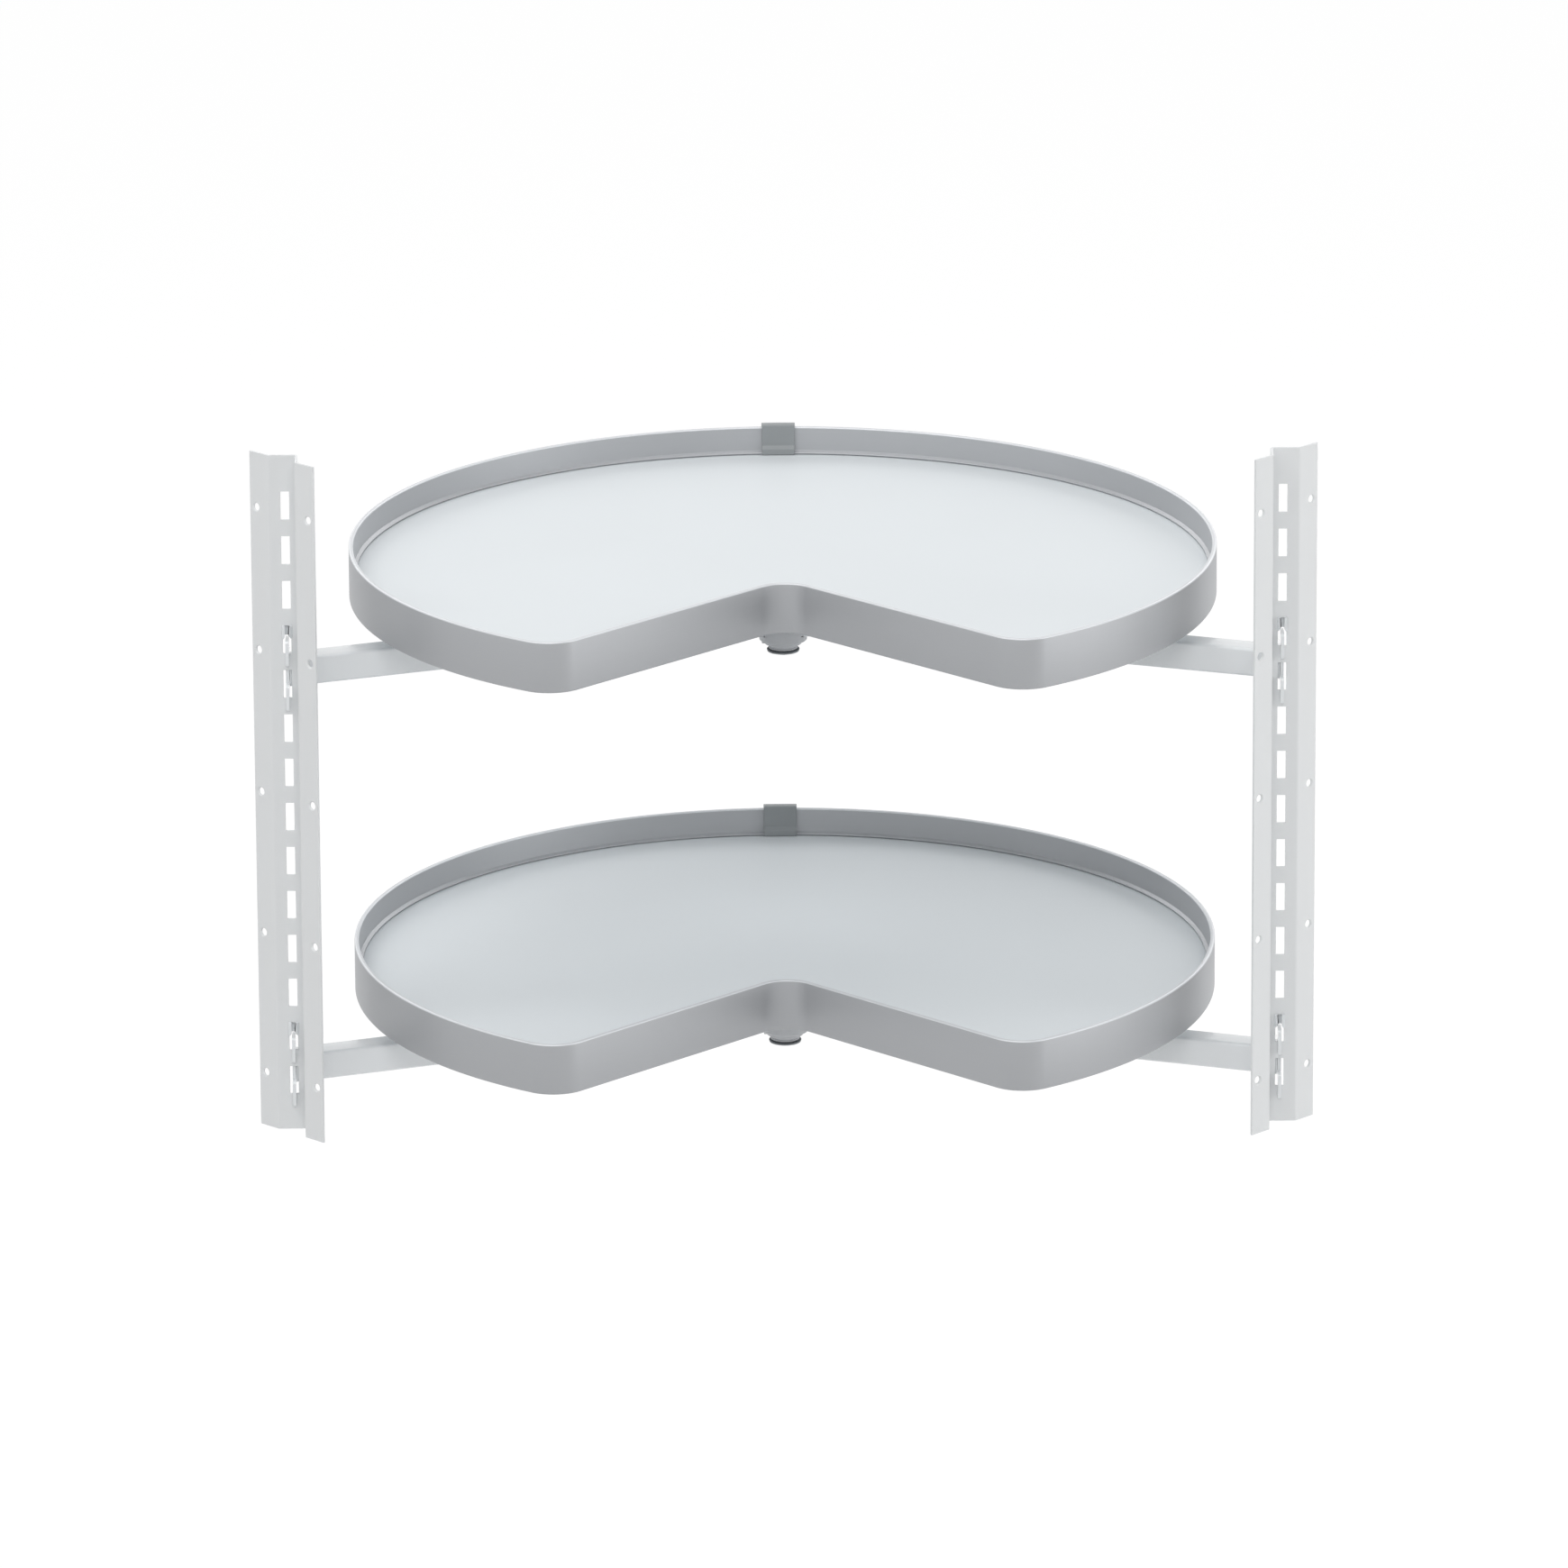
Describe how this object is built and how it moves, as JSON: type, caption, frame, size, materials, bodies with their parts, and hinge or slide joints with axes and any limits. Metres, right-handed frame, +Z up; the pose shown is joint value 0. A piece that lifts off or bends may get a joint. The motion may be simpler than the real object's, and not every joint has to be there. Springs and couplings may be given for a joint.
{
  "type": "corner carousel cabinet fitting",
  "caption": "Corner carousel fitting: notched round trays turn on bent crossbars that hook into slotted wall posts inside a kitchen corner cabinet.",
  "frame": {"origin": "on the trays' turning axis, at the level of the posts' lower ends", "axes": "+Z up along the turning axis, +Y towards the room corner and away from the trays' notch, +X to the right as seen from the open cabinet"},
  "size_m": [0.9202, 0.696, 0.61],
  "materials": {
    "post": "white powder coat",
    "bar": "white powder coat",
    "board": "white melamine facing on particle board",
    "rim": "satin silver",
    "clip": "grey moulded plastic",
    "lock": "light grey moulded plastic",
    "plate": "zinc plated",
    "steel": "bright turned steel",
    "support": "dull zinc plated",
    "bush": "dark grey bearing plastic"
  },
  "bodies": {
    "frame": {"left_post": "post", "right_post": "post", "upper_crossbar": "bar", "upper_left_hook_plate": "bar", "upper_right_hook_plate": "bar", "upper_left_lock_clip": "lock", "upper_right_lock_clip": "lock", "upper_bearing_tube": "steel", "upper_top_bush": "bush", "upper_bottom_bush": "bush", "upper_lower_race": "steel", "upper_ball_cage": "steel", "upper_support_flange": "support", "upper_lock_ring": "support", "upper_clamp_nut": "steel", "lower_crossbar": "bar", "lower_left_hook_plate": "bar", "lower_right_hook_plate": "bar", "lower_left_lock_clip": "lock", "lower_right_lock_clip": "lock", "lower_bearing_tube": "steel", "lower_top_bush": "bush", "lower_bottom_bush": "bush", "lower_lower_race": "steel", "lower_ball_cage": "steel", "lower_support_flange": "support", "lower_lock_ring": "support", "lower_clamp_nut": "steel"},
    "upper_tray": {"upper_tray_board": "board", "upper_tray_rim": "rim", "upper_rim_joint_clip": "clip", "upper_tray_plate": "plate", "upper_spindle": "steel", "upper_upper_race": "steel", "upper_end_washer": "steel", "upper_end_screw": "steel", "upper_plate_screw_1": "steel", "upper_plate_screw_2": "steel", "upper_plate_screw_3": "steel", "upper_plate_screw_4": "steel"},
    "lower_tray": {"lower_tray_board": "board", "lower_tray_rim": "rim", "lower_rim_joint_clip": "clip", "lower_tray_plate": "plate", "lower_spindle": "steel", "lower_upper_race": "steel", "lower_end_washer": "steel", "lower_end_screw": "steel", "lower_plate_screw_1": "steel", "lower_plate_screw_2": "steel", "lower_plate_screw_3": "steel", "lower_plate_screw_4": "steel"}
  },
  "joints": [
    {"name": "upper_tray_turn", "type": "hinge", "parent": "frame", "child": "upper_tray", "pos_m": [0, 0, 0.4335], "axis": [0, 0, 1], "continuous": true},
    {"name": "lower_tray_turn", "type": "hinge", "parent": "frame", "child": "lower_tray", "pos_m": [0, 0, 0.0735], "axis": [0, 0, 1], "continuous": true}
  ]
}
